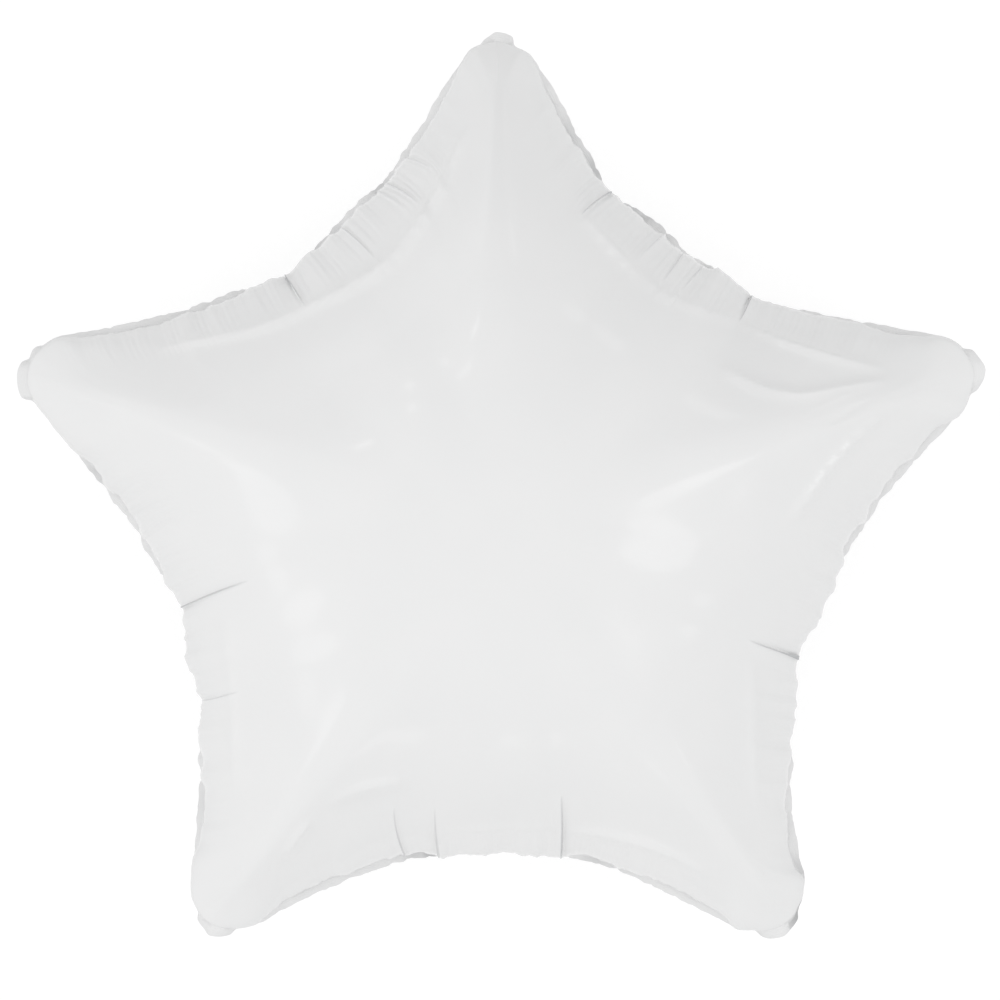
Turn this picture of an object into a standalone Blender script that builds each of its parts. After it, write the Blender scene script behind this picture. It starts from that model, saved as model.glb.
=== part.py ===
"""Star foil balloon: two star-shaped films welded together round their edge and blown up.

Metres, +Z up. The balloon lies on its back: the front film faces +Z, one point of the star
faces +Y, and the origin is the middle of the small flat spot on which the back film rests.
The welded films hold the gas in and can't be seen into, so the balloon is one closed solid.
"""

import math

import bmesh
import bpy
import numpy as np

# Regular star, at the outer edge of the seam
point_count = 5
tip_radius = 0.2304  # centre to the round end of a point, without its tab
notch_radius = 0.1535  # centre to the middle of a hollow side
tip_round = 0.0213  # radius of the round end of a point
bend_place = 0.045  # from a side's middle to the bend where it turns out to the point
bend_rise = 0.006  # how much further out the side lies at that bend than at its middle
bend_round = 0.100  # radius of the curve through the bend
middle_round = 0.090  # radius of the curve through the side's middle

# Seam, the margin where the two films are welded
seam_width = 0.0045
seam_thickness = 0.0008
tab_flank = 0.0012  # how far along the seam a tab takes to reach its length
flat_reach = 0.014  # how far from a point's middle the seam still lies flat, and is cut narrow
lean_reach = 0.040  # and where it first leans back in full

# Blown-up body
thickness = 0.140  # front to back through the middle
rest_radius = 0.026  # flat spot under the middle of the back
section_power = 2.5  # 2 makes the section from seam to ridge an ellipse, more makes it fuller
stand_taper = 3.5  # 1 lets the seam's unevenness run out at the ridge, more makes it end sooner

# Gathers, which take up the spare length of the seam
gather_pitch = 0.0088
gather_depth = 0.0007
gather_reach = 0.019  # how far in from the seam they die out
crease_flank = 0.009  # how far along the seam a crease still draws it in
crease_share = 0.55  # share of a crease's depth that its sharp valley takes
crease_half_width = 0.0024  # of that valley
crease_taper = 1.2  # 1 lets a crease run out evenly, more makes it shallow sooner
lean_width = 0.008  # how far along the seam the film leans with a crease
stretch_blend = 0.003  # how far past its end a stretch of the seam still has its own form

# The points, anticlockwise from the one on +Y. Each ends in a blunt tab of seam, which reaches
# so far clockwise and anticlockwise from the point's middle. The stand is how far the film's
# edge lies outside its regular line at the end of the point.
points = [
    {"stand": -0.0002, "clockwise": 0.0070, "anticlockwise": 0.0064, "tab_length": 0.0044},
    {"stand": 0.0046, "clockwise": 0.0098, "anticlockwise": 0.0098, "tab_length": 0.0048},
    {"stand": 0.0029, "clockwise": 0.0052, "anticlockwise": 0.0100, "tab_length": 0.0046},
    {"stand": 0.0026, "clockwise": 0.0120, "anticlockwise": 0.0050, "tab_length": 0.0046},
    {"stand": 0.0076, "clockwise": 0.0068, "anticlockwise": 0.0068, "tab_length": 0.0050},
]

# The sides, anticlockwise from the one left of the +Y point. A place along a side runs from -1
# at its clockwise end to 1 at its other end. A stretch has the place where it starts, how far
# the film's edge stands outside its regular line, and how much of the seam's width shows from
# the front: the rest leans back behind the film. A crease has its place, its length in from the
# seam, its depth, and its lean, which is how far it steps anticlockwise for each step in.
sides = [
    {
        "stretches": [
            (-0.93, 0.0006, 0.0012),
            (-0.802, -0.0008, 0.0040),
            (-0.415, 0.0030, 0.0036),
            (-0.043, 0.0032, 0.0010),
            (0.186, 0.0038, 0.0036),
            (0.386, 0.0024, 0.0042),
            (0.744, 0.0056, 0.0022),
        ],
        "creases": [
            (-0.48, 0.013, 0.0012, -0.43),
            (-0.372, 0.018, 0.0017, -0.26),
            (-0.165, 0.021, 0.0020, -0.17),
            (0.075, 0.017, 0.0042, 0.13),
        ],
    },
    {
        "stretches": [
            (-0.93, 0.0012, 0.0008),
            (-0.694, -0.0011, 0.0036),
            (-0.358, 0.0022, 0.0033),
            (-0.186, 0.0028, 0.0008),
            (0.043, 0.0040, 0.0008),
            (0.53, -0.0002, 0.0040),
            (0.737, 0.0033, 0.0008),
        ],
        "creases": [
            (-0.068, 0.034, 0.0044, -0.11),
            (0.254, 0.018, 0.0026, -0.13),
        ],
    },
    {
        "stretches": [
            (-0.93, 0.0021, 0.0009),
            (-0.809, -0.0042, 0.0047),
            (-0.501, -0.0031, 0.0044),
            (-0.208, 0.0009, 0.0008),
            (0.229, -0.0016, 0.0038),
            (0.816, 0.0041, 0.0008),
        ],
        "creases": [
            (-0.304, 0.025, 0.0015, -0.17),
            (-0.197, 0.023, 0.0019, 0.02),
            (0.211, 0.029, 0.0023, -0.16),
        ],
    },
    {
        "stretches": [
            (-0.93, 0.0010, 0.0018),
            (-0.852, -0.0026, 0.0042),
            (-0.487, 0.0008, 0.0010),
            (-0.365, 0.0024, 0.0008),
            (-0.086, 0.0040, 0.0008),
            (0.265, 0.0009, 0.0040),
            (0.437, -0.0012, 0.0042),
            (0.83, 0.0032, 0.0009),
        ],
        "creases": [(-0.111, 0.024, 0.0052, 0.13)],
    },
    {
        "stretches": [
            (-0.93, 0.0065, 0.0016),
            (-0.802, 0.0037, 0.0040),
            (-0.666, 0.0041, 0.0018),
            (-0.243, 0.0052, 0.0009),
            (-0.072, 0.0031, 0.0038),
            (0.293, 0.0006, 0.0008),
            (0.394, -0.0023, 0.0042),
            (0.823, 0.0008, 0.0012),
        ],
        "creases": [
            (-0.236, 0.013, 0.0044, -0.04),
            (-0.043, 0.015, 0.0014, 0.10),
            (0.036, 0.016, 0.0014, 0.03),
            (0.125, 0.013, 0.0012, 0.16),
            (0.351, 0.018, 0.0030, 0.18),
        ],
    },
]

# How finely the films are divided
row_count = 7  # faces from the seam to the ridge
row_crowding = 1.7  # 1 spaces them evenly, more draws them to the seam
column_crowding = 0.78  # 1 spaces the section lines evenly along a ridge
crease_crowding = 1.8  # 0 spaces them evenly along the seam, more draws them to the creases
crowded_share = 0.35  # share of the way to the ridge over which they stay crowded
curve_steps = 24
fine_steps = 2001
tab_columns = np.array([0.0, 0.55])  # places across half a tab, from the point's middle

film_colour = (0.89, 0.89, 0.89, 1.0)
film_roughness = 0.24
weld_distance = 1e-5
normal_step = 0.001  # the stretch of edge over which its direction is read

half_angle = math.pi / point_count
spoke = np.array([math.sin(half_angle), math.cos(half_angle)])  # the point to the right of +Y


def clear_scene():
    for old in list(bpy.data.objects):
        bpy.data.objects.remove(old, do_unlink=True)


def smooth_corner(before, corner, after, radius):
    """A parabola in place of a corner, about as tight as a circle of this radius."""
    back = before - corner
    ahead = after - corner
    room = 0.48 * min(np.linalg.norm(back), np.linalg.norm(ahead))
    back = back / np.linalg.norm(back)
    ahead = ahead / np.linalg.norm(ahead)
    turn = math.pi - math.acos(np.clip(back @ ahead, -1.0, 1.0))
    reach = min(radius * math.tan(turn / 2), room)
    share = np.linspace(0.0, 1.0, curve_steps)[:, None]
    start = corner + reach * back
    end = corner + reach * ahead
    return (1 - share) ** 2 * start + 2 * share * (1 - share) * corner + share**2 * end


def side_outline():
    """The film's edge along one side, anticlockwise, with the side's middle on +Y.

    Half of it runs from the middle to the bend, then straight to where it touches the
    round end of the point, and round that end to the spoke. The other half mirrors it.
    """
    notch = np.array([0.0, notch_radius - seam_width])
    bend = notch + (bend_place, bend_rise)
    end_radius = tip_round - seam_width
    end_centre = (tip_radius - tip_round) * spoke
    run = end_centre - bend
    heading = math.atan2(run[1], run[0]) + math.asin(end_radius / np.linalg.norm(run))
    angles = np.linspace(heading + math.pi / 2, math.pi / 2 - half_angle, curve_steps)
    end = end_centre + end_radius * np.stack([np.cos(angles), np.sin(angles)], axis=1)
    middle = smooth_corner(bend * (-1, 1), notch, bend, middle_round)
    middle = middle[middle[:, 0] > 0.0]
    half = np.vstack([middle, smooth_corner(notch, bend, end[0], bend_round), end])
    return np.vstack([half[::-1], half * (-1, 1)])


outline = side_outline()
outline_place = np.append(0.0, np.cumsum(np.linalg.norm(np.diff(outline, axis=0), axis=1)))
outline_place = outline_place - outline_place[-1] / 2
half_length = outline_place[-1]


def point_on_outline(places):
    return np.stack([np.interp(places, outline_place, outline[:, axis]) for axis in (0, 1)], -1)


def outline_at(places):
    """Points of the film's edge at these places, its direction there and outward normals."""
    points = point_on_outline(places)
    ahead = point_on_outline(np.minimum(places + normal_step, half_length))
    behind = point_on_outline(np.maximum(places - normal_step, -half_length))
    along = ahead - behind
    along = along / np.linalg.norm(along, axis=-1, keepdims=True)
    normals = np.stack([along[..., 1], -along[..., 0]], -1)
    normals[..., 0, :] = spoke
    normals[..., -1, :] = spoke * (-1, 1)
    return points, along, normals


def seam_form(number, places):
    """How far the film's edge stands out along a side, and how much of its seam shows."""
    before = points[number]
    after = points[(number + 1) % point_count]
    stretches = sides[number]["stretches"]
    ends = [stretch[0] for stretch in stretches[1:]] + [-stretches[0][0]]
    knots = [(-half_length, before["stand"], stretches[0][2])]
    for (start, stand, shown), end in zip(stretches, ends):
        knots.append((start * half_length + stretch_blend, stand, shown))
        knots.append((end * half_length - stretch_blend, stand, shown))
    knots.append((half_length, after["stand"], stretches[-1][2]))
    knots = np.array(knots)
    stand = np.interp(places, knots[:, 0], knots[:, 1])
    shown = np.interp(places, knots[:, 0], knots[:, 2])
    tabs = ((before, "anticlockwise", half_length + places), (after, "clockwise", half_length - places))
    for point, way, from_middle in tabs:
        inside = np.clip((point[way] - from_middle) / tab_flank + 0.5, 0.0, 1.0)
        shown = shown + (point["tab_length"] - shown) * inside
    return stand, shown


def crease_places(side):
    return [share * half_length for share, _, _, _ in side["creases"]]


def column_places(number):
    """Where the section lines meet the seam: two to a gather, and closer by creases and tabs.

    Both halves of a side have as many, since they share their ridges with the next sides.
    """
    before = points[number]["anticlockwise"]
    after = points[(number + 1) % point_count]["clockwise"]
    start = before - half_length + tab_flank / 2
    end = half_length - after - tab_flank / 2
    fine = np.linspace(start, end, fine_steps)
    density = np.ones(fine_steps)
    for place in crease_places(sides[number]):
        density += crease_crowding * np.exp(-(((fine - place) / (2 * crease_half_width)) ** 2))
    total = np.append(0.0, np.cumsum(density[1:] + density[:-1]))
    count = max(4, round((half_length - tip_round / 2) * 2 / gather_pitch))
    body = np.interp(np.linspace(0.0, total[-1], 2 * count + 1), total, fine)
    for place in crease_places(sides[number]):
        body[np.argmin(np.abs(body - place))] = place
    first_tab = tab_columns * before - half_length
    last_tab = half_length - tab_columns[::-1] * after
    first_edge = [start - tab_flank]
    last_edge = [end + tab_flank]
    return np.concatenate([first_tab, first_edge, body, last_edge, last_tab]), count


def ridge_at(places, count):
    """Where the section lines end: on the two ridges, and round the flat spot between them."""
    share = np.abs(places) / half_length
    full_reach = tip_radius - tip_round
    first = max(1, round(count * (rest_radius / full_reach) ** (1 / column_crowding)))
    flat_share = first / count
    radius = np.maximum(full_reach * share**column_crowding, rest_radius)
    radius = np.where(share * count < first + 0.5, rest_radius, radius)
    angle = half_angle * np.minimum(share / flat_share, 1.0) * np.sign(places)
    return np.stack([-radius * np.sin(angle), radius * np.cos(angle)], -1), first


def relief(side, places, gathers, from_seam, depth_in):
    """How far the film is drawn in (-), for each row and section line.

    It dies out at the ridges and at the ends of the points, where two sides meet.
    """
    total = -gather_depth * gathers * np.clip(1 - depth_in / gather_reach, 0.0, 1.0)
    for share, length, depth, _ in side["creases"]:
        away = np.abs(places - share * half_length)
        flank = np.exp(-away / crease_flank)
        valley = np.clip(1 - away / crease_half_width, 0.0, 1.0)
        draw = (1 - crease_share) * flank + crease_share * valley
        total -= depth * draw * np.clip(1 - depth_in / length, 0.0, 1.0) ** crease_taper
    return total * (1 - (places / half_length) ** 2) * (1 - from_seam)


def film(number, places, from_seam, gathers, rise):
    """One film over a side: rows from the ridge to the seam, in the side's own frame.

    In plan a section line runs from the seam to the ridge, and leans with the creases. The
    height is a superellipse along that line times a parabola of the distance from the star's
    centre, which lets the ridges run down to the points with no fold along them.
    """
    side = sides[number]
    regular, along, normals = outline_at(places)
    ridge, _ = ridge_at(places, places.shape[1] // 2)
    stand, _ = seam_form(number, places)
    plan = regular + (ridge - regular) * from_seam[:, :, None]
    radius = np.linalg.norm(plan, axis=2)
    depth_in = np.linalg.norm(plan - regular, axis=2)
    plan = plan + ((1 - from_seam) ** stand_taper * stand)[:, :, None] * normals
    for share, length, _, lean in side["creases"]:
        bell = np.exp(-(((places - share * half_length) / lean_width) ** 2))
        shift = lean * np.minimum(depth_in, length) * bell * (1 - from_seam) ** 2
        plan = plan + shift[:, :, None] * along
    profile = (1 - (1 - from_seam) ** section_power) ** (1 / section_power)
    film_points = np.dstack([plan, rise * (1 - (radius / tip_radius) ** 2) * profile])
    down = np.gradient(film_points, axis=0)
    across = np.gradient(film_points, axis=1)
    out = np.cross(across, down) if rise > 0 else np.cross(down, across)
    out = out / np.linalg.norm(out, axis=2)[:, :, None]
    out[-1] = np.column_stack([normals[-1], np.zeros(places.shape[1])])
    height = relief(side, places, gathers, from_seam, depth_in)
    return film_points + height[:, :, None] * out


def side_grid(number):
    """Rows of points over one side, from the front ridge over the seam to the back ridge."""
    at_seam, body_columns = column_places(number)
    count = len(at_seam) // 2
    index = np.abs(np.arange(len(at_seam)) - count)
    gathers = (index % 2) * (index < body_columns) * 1.0
    for place in crease_places(sides[number]):
        gathers *= 1 - np.exp(-(((at_seam - place) / (2 * crease_half_width)) ** 2))
    from_seam = np.linspace(1.0, 0.0, row_count + 1)[:, None] ** row_crowding
    spread = np.clip((from_seam - crowded_share) / (1 - crowded_share), 0.0, 1.0)
    even = np.linspace(-half_length, half_length, len(at_seam))
    places = at_seam + (even - at_seam) * spread
    level = thickness / 2
    front_rise = level - seam_thickness / 2
    back_rise = front_rise / (1 - (rest_radius / tip_radius) ** 2)
    front = film(number, places, from_seam, gathers, front_rise)
    back = film(number, places, from_seam, gathers, -back_rise)
    front[:, :, 2] += level + seam_thickness / 2
    back[:, :, 2] += level - seam_thickness / 2
    _, _, normals = outline_at(at_seam)
    _, shown = seam_form(number, at_seam)
    from_point = half_length - np.abs(at_seam)
    free = np.clip((from_point - flat_reach) / (lean_reach - flat_reach), 0.0, 1.0)
    width = shown + (np.maximum(seam_width, shown) - shown) * free
    fall = np.sqrt(width**2 - shown**2)
    margin_end = (front[-1] + back[-1]) / 2 + np.column_stack([shown[:, None] * normals, -fall])
    face = np.column_stack([fall[:, None] * normals, shown]) / width[:, None]
    front_end = margin_end + face * seam_thickness / 2
    back_end = margin_end - face * seam_thickness / 2
    _, first = ridge_at(at_seam, count)
    return np.concatenate([front, [front_end], [back_end], back[::-1]]), first


def balloon_mesh():
    shape = bmesh.new()
    for number in range(point_count):
        grid, first = side_grid(number)
        turn = half_angle * (2 * number + 1)
        turned = grid.copy()
        turned[:, :, 0] = grid[:, :, 0] * math.cos(turn) - grid[:, :, 1] * math.sin(turn)
        turned[:, :, 1] = grid[:, :, 0] * math.sin(turn) + grid[:, :, 1] * math.cos(turn)
        rows = [[shape.verts.new(point) for point in row] for row in turned]
        middle = len(rows[0]) // 2
        for strip, (upper, lower) in enumerate(zip(rows, rows[1:])):
            for column in range(len(upper) - 1):
                corners = [upper[column], upper[column + 1], lower[column + 1], lower[column]]
                # each face is split along the line that runs to the end of its ridge
                if (column < middle) != (strip < len(rows) // 2):
                    corners = corners[1:] + corners[:1]
                shape.faces.new(corners[:3])
                shape.faces.new((corners[0], corners[2], corners[3]))
        for row, height in ((rows[0], thickness), (rows[-1], 0.0)):
            crown = shape.verts.new((0.0, 0.0, height))
            for column in range(middle - first, middle + first):
                shape.faces.new((row[column], row[column + 1], crown))
    bmesh.ops.remove_doubles(shape, verts=shape.verts, dist=weld_distance)
    bmesh.ops.recalc_face_normals(shape, faces=shape.faces)
    mesh = bpy.data.meshes.new("balloon")
    shape.to_mesh(mesh)
    shape.free()
    return mesh


def film_material():
    material = bpy.data.materials.new("white_film")
    material.use_nodes = True
    shader = material.node_tree.nodes["Principled BSDF"]
    shader.inputs["Base Color"].default_value = film_colour
    shader.inputs["Roughness"].default_value = film_roughness
    shader.inputs["Metallic"].default_value = 0.0
    return material


clear_scene()
balloon = bpy.data.objects.new("balloon", balloon_mesh())
balloon.data.materials.append(film_material())
balloon.data.shade_smooth()
balloon.data.set_sharp_from_angle(angle=math.radians(70))
bpy.context.scene.collection.objects.link(balloon)
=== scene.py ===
import math
import time

import bmesh
import bpy
import numpy as np
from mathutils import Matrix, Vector


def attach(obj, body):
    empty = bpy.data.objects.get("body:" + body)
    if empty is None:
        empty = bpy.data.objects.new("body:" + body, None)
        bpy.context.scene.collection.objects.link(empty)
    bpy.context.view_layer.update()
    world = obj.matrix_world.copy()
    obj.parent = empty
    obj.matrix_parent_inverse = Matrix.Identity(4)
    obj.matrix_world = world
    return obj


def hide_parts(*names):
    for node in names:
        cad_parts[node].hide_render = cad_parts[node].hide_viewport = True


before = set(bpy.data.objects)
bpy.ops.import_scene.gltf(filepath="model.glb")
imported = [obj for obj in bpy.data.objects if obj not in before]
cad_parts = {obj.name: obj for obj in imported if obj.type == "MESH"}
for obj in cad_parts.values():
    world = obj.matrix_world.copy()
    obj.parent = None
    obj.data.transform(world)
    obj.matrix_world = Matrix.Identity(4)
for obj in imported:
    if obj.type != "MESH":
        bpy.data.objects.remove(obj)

startTime = time.time()
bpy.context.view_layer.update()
scene = bpy.context.scene

# Star foil balloon, lying on its back with the front film up. Metres.
# Every side of the star is worked out in its own frame, with the side's middle on +Y, and
# turned into place. "Place" is the distance along the film's edge from that middle, clockwise,
# and "depth in" the distance from the film's edge towards the ridge of a point.

balloon = {
    "tipRadius": 0.2304,       # centre to the round end of a point, on the plain outline
    "notchRadius": 0.1535,     # centre to the middle of a hollow side
    "tipRound": 0.0213,
    "bendPlace": 0.045,
    "bendRise": 0.006,
    "bendRound": 0.100,
    "middleRound": 0.090,
    "plainMargin": 0.0045,     # from the plain outline in to the film's plain edge
    "marginWidth": 0.0050,     # welded margin as it was cut
    "marginSpare": 0.0002,     # and at least this much wider than what shows of it
    "marginThickness": 0.0005,
    "marginEdge": 0.6,         # thickness of its cut edge, as a share
    "marginRows": (0.35, 0.7, 1.0),   # shares of its width
    "marginRipple": 0.0007,    # how far the margin waves up and down
    "ripplePitch": (0.031, 0.017, 0.0095),
    "seamWave": 0.0020,        # how far the seam itself leaves its level, from crease to crease
    "thickness": 0.140,
    "restRadius": 0.026,
    "sectionPower": 2.5,
    "overhang": 0.0011,        # the film swells over the seam where the margin hides behind it
    "overhangHeight": 0.014,
    "notchReach": 0.012,       # how far in from the seam its notches are felt
    "flankPlace": 0.105,       # within the straight flank of a point
    "flankBlend": 0.020,
    "softWidth": 0.024,        # the bell that rounds off the edge's bends further in
    "softTaper": 5.0,          # how fast the bends lose themselves on the way in
    "restShare": 0.16,         # share of a side's section lines that end round the flat spot
    "ridgeEase": 0.22,         # how softly the others turn off along the ridges
    "crowdedShare": 0.40,      # share of the way in over which section lines crowd at creases
    "dipTurns": (0.55, 0.85),  # shares of the way in between which wrinkles turn to sink straight down
    "columns": 200,            # section lines to a side
    "frontRows": 72,
    "backRows": 18,
}

# The points, anticlockwise from the top one. A knot is (place clockwise from the point's
# middle, how far the seam stands outside its plain line, how wide the margin shows), in
# millimetres. The steps in the last number are the blunt tab that each point ends in.
tips = [
    [
        (-18, 0.6, 1.2), (-12, 1, 1), (-7.8, -0.2, 0.8), (-6.4, -0.2, 2.2), (-3, -0.1, 3.4),
        (-1.2, -0.1, 4.8), (3, -0.3, 4.5), (6.2, -0.5, 4), (7.3, -0.7, 0.8), (9, -1, 0.8),
        (12, 0.3, 0.8), (18, 1.3, 1.1),
    ],
    [
        (-18, 0.6, 0.8), (-10.4, 1.6, 0.8), (-9.2, 2, 4.9), (-6, 3, 5.2), (0, 4.6, 5.2),
        (3, 5.2, 4.3), (4.5, 5.5, 1.7), (7.5, 5.8, 3.2), (9.3, 5.8, 2.8), (10.8, 6, 0.9),
        (13.5, 6.6, 1), (18, 7.2, 1),
    ],
    [
        (-18, 2, 0.8), (-10.6, 1.2, 0.8), (-9.4, 1.5, 3.2), (-6, 2, 4.5), (-1.8, 2.9, 5.5),
        (0, 3, 3.9), (4.5, 3.2, 2.9), (5.8, 2.4, 0.8), (9, 3.1, 0.8), (15, 3, 0.8), (18, 3.2, 0.8),
    ],
    [
        (-21, 4, 1), (-18, 2.7, 0.8), (-12, 2.1, 0.8), (-10.5, 3, 0.9), (-9, 1.2, 0.8),
        (-6, 2.4, 1.3), (-4.5, 2.6, 2.9), (0, 2.6, 4), (3, 2.6, 5.3), (9, 2.6, 4.1),
        (10.5, 2.6, 3.3), (12.2, 2.6, 1.2), (13.5, 1.9, 0.8), (18, 4.4, 0.9), (21, 4.9, 0.9),
    ],
    [
        (-18, 7.8, 0.8), (-9, 8.6, 0.9), (-7.5, 7.9, 0.8), (-6.2, 7.9, 3.9), (-3, 7.9, 4.5),
        (0, 7.6, 5.9), (3, 6.4, 5), (5, 5.2, 3.7), (6.3, 4.6, 3.3), (7.3, 4.2, 0.8), (16.5, 4, 0.8),
        (18, 3.2, 0.8),
    ],
]

# The sides, anticlockwise from the one left of the top point, with the same knots between the
# points. The rest is in metres again. A crease is (place, length, depth of its wide flanks,
# depth of its sharp fold, lean, which way it laps), and lean is the sideways step for each step
# in. Silver marks the margin's foil side turned up, darkened further as painted shade where it
# folds back: (place, half length, strength). Gathers are fine ribs that run in from the seam:
# (place, half length, how far in, strength).
sides = [
    {
        "edge": [
            (-120, 6.6, 1.5), (-112, 4.3, 3), (-96, 2.5, 4.3), (-76, 2.1, 4.2), (-60, 3.4, 4),
            (-44, 4.5, 3.2), (-39, 4, 4.2), (-28, 3.6, 2.2), (-18, 2.6, 0.8), (-11, -0.4, 0.8),
            (-6, 2, 0.8), (2, 3.4, 1.1), (14, 3.5, 3), (22.5, 2.9, 3.7), (26, 3.3, 3.7),
            (37, 4, 3.8), (44, 2.5, 3.6), (54, 1, 3), (64, 0, 3.8), (80, -1, 4), (88, -1.3, 3.5),
            (97, -1, 4.2), (112, 0.2, 2.3), (120, 1, 1.2),
        ],
        "creases": [
            (0.0672, 0.013, 0.0008, 0.0007, 0.42, 1), (0.052, 0.018, 0.001, 0.001, 0.27, 1),
            (0.047, 0.015, 0.0004, 0.0007, 0.14, 1), (0.0231, 0.021, 0.0008, 0.001, 0.16, -1),
            (-0.0105, 0.017, 0.0022, 0.0026, -0.08, 1),
        ],
        "silverAndShade": [(-0.024, 0.006, 0.5), (0.005, 0.006, 0.6), (0.017, 0.007, 0.3), (0.05, 0.006, 0.4)],
        "gathers": [(-0.07, 0.06, 0.018, 0.7), (0.02, 0.06, 0.021, 1.0)],
    },
    {
        "edge": [
            (-120, 3.4, 0.8), (-112, 3.4, 0.8), (-104, 1.6, 1.8), (-97, 0.2, 3.5), (-84, -0.4, 4.3),
            (-75, 0.6, 3.4), (-69, 2.8, 1.4), (-64, 1.8, 3.5), (-57, 4, 1), (-48, 3.8, 0.8),
            (-41, 2.5, 0.8), (-35.5, 1, 0.8), (-30, 2.2, 0.8), (-24, 2.6, 0.8), (-14, 4.3, 0.8),
            (-6, 3.8, 0.8), (1, 2, 0.8), (9.5, -0.5, 0.8), (15, 0.6, 1), (22, 2.4, 1), (30, 1.6, 3),
            (44, 2.4, 3.4), (52, 0.9, 3.2), (62, -0.4, 4), (69, -1, 4.4), (75, 1.2, 1.6),
            (82, -1.2, 4), (92, -1, 3.2), (99, 1.2, 1), (112, 1.3, 0.8), (120, 0.8, 0.8),
        ],
        "creases": [
            (0.0095, 0.034, 0.0024, 0.0018, 0.08, 1), (-0.0355, 0.018, 0.001, 0.0008, 0.11, -1),
        ],
        "silverAndShade": [(0.086, 0.006, 0.3), (-0.085, 0.012, 0.15)],
        "gathers": [(0.045, 0.03, 0.034, 0.8), (-0.02, 0.08, 0.016, 0.3)],
    },
    {
        "edge": [
            (-118, 4.6, 0.8), (-111, 1, 3), (-102, -0.4, 4.4), (-88, -1.7, 4.5), (-76, -2, 3.9),
            (-60, -1.4, 3.4), (-48, -1.4, 3.3), (-40, -2, 3.6), (-34, -0.4, 2.2), (-29.5, 0.2, 0.8),
            (-20, 0.6, 0.8), (-4, 1, 0.9), (8, 1, 0.8), (20, 0.4, 0.8), (27.5, 0.8, 0.8),
            (31, -1.4, 3.2), (38, -2.8, 4.2), (44, -3, 4.6), (56, -3.3, 4.3), (68, -3.7, 4.4),
            (80, -4.6, 4.7), (92, -4.2, 4.8), (104, -3, 4.1), (111, -0.9, 3), (118, 2.2, 0.9),
        ],
        "creases": [
            (0.0425, 0.025, 0.0008, 0.0013, 0.22, 1), (0.0275, 0.023, 0.0008, 0.0011, 0.00, -1),
            (-0.0295, 0.029, 0.001, 0.002, 0.12, 1),
        ],
        "silverAndShade": [(0.032, 0.004, 0.6), (0.039, 0.005, 0.3), (-0.046, 0.008, 0.25)],
        "gathers": [(-0.02, 0.06, 0.018, 0.5)],
    },
    {
        "edge": [
            (-119, 2.8, 0.9), (-112, -0.6, 4), (-102, -1.4, 4.3), (-94, 0.6, 2.2), (-88, -2, 4.5),
            (-76, -1.4, 4.2), (-64, -0.8, 4), (-58, 3, 1.6), (-52, 0.8, 3.9), (-40, 1, 4),
            (-34, 4, 1), (-28, 3.4, 0.8), (-20, 4.4, 0.8), (-10, 3.8, 0.8), (0, 2.9, 0.8),
            (8, 0.9, 0.8), (15.5, -2.5, 0.8), (21, -0.4, 0.8), (28, 1.2, 0.8), (38, 2.2, 0.8),
            (48.5, 2.8, 0.8), (52.5, 0.2, 0.8), (58, 1, 0.9), (64, 0.9, 2.5), (74, -1.9, 3.5),
            (86, -3, 3.6), (98, -2.8, 4.4), (108, -2.6, 4.8), (116, -0.2, 3.3),
        ],
        "creases": [
            (0.0155, 0.024, 0.0024, 0.002, -0.15, 1),
        ],
        "silverAndShade": [(0.115, 0.008, 0.35), (0.132, 0.008, 1.0)],
        "gathers": [(0.00, 0.08, 0.018, 0.4)],
    },
    {
        "edge": [
            (-121, 1.3, 1.1), (-113, -0.2, 2.8), (-106, -1.4, 4.6), (-94, -2.1, 4.8),
            (-80, -3.4, 4.7), (-71, -1.8, 4.1), (-64, -2.4, 3.3), (-57, -2.2, 2.6), (-52, -1, 0.9),
            (-48.8, -2.2, 0.8), (-44, -0.3, 0.8), (-39, 1.3, 2.4), (-34, 1.7, 3.6), (-27, 2, 3.8),
            (-18, 2.6, 4.6), (-11, 2.8, 3.8), (-5, 3.2, 2.1), (1, 4.3, 1.9), (8, 3, 4),
            (13, 5.6, 1.2), (20, 4.7, 0.8), (26, 3.3, 0.8), (33, 0.4, 0.8), (38, 1.9, 0.8),
            (48, 3.7, 1.2), (58, 3.7, 2.2), (70, 4, 2), (86, 5, 1.6), (98, 3.8, 3.7),
            (106, 3.6, 4.2), (114, 5.8, 2.3), (121, 7.2, 1.2),
        ],
        "creases": [
            (0.033, 0.013, 0.0016, 0.0022, 0.04, 1), (0.0062, 0.015, 0.0006, 0.0009, -0.16, -1),
            (-0.0049, 0.016, 0.0006, 0.0009, 0.04, 1), (-0.0175, 0.013, 0.0005, 0.0006, -0.13, -1),
            (-0.0488, 0.018, 0.0016, 0.0022, -0.19, -1),
        ],
        "silverAndShade": [
            (-0.082, 0.01, 0.2), (-0.062, 0.008, 0.6), (-0.053, 0.003, 1.0),
            (-0.038, 0.006, 0.6), (-0.03, 0.006, 0.35), (-0.016, 0.008, 0.2),
        ],
        "gathers": [(-0.02, 0.06, 0.02, 1.0), (0.06, 0.05, 0.017, 0.6)],
    },
]

# Fine gathers along the whole seam, in three families from coarse to fine
puckers = {
    "seed": 11,
    "pitch": (0.012, 0.0062, 0.0034),
    "depth": (0.0011, 0.00065, 0.0004),
    "reach": (0.024, 0.017, 0.009),       # how far in they run
    "covered": 0.93,                      # share of the seam that has them
    "jitter": 0.38,                       # how unevenly they stand, as a share of the pitch
    "depthSpread": (0.4, 1.5),
    "reachSpread": (0.55, 1.35),
    "widthSpread": (0.4, 0.65),           # half width, as a share of the pitch
}

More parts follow.
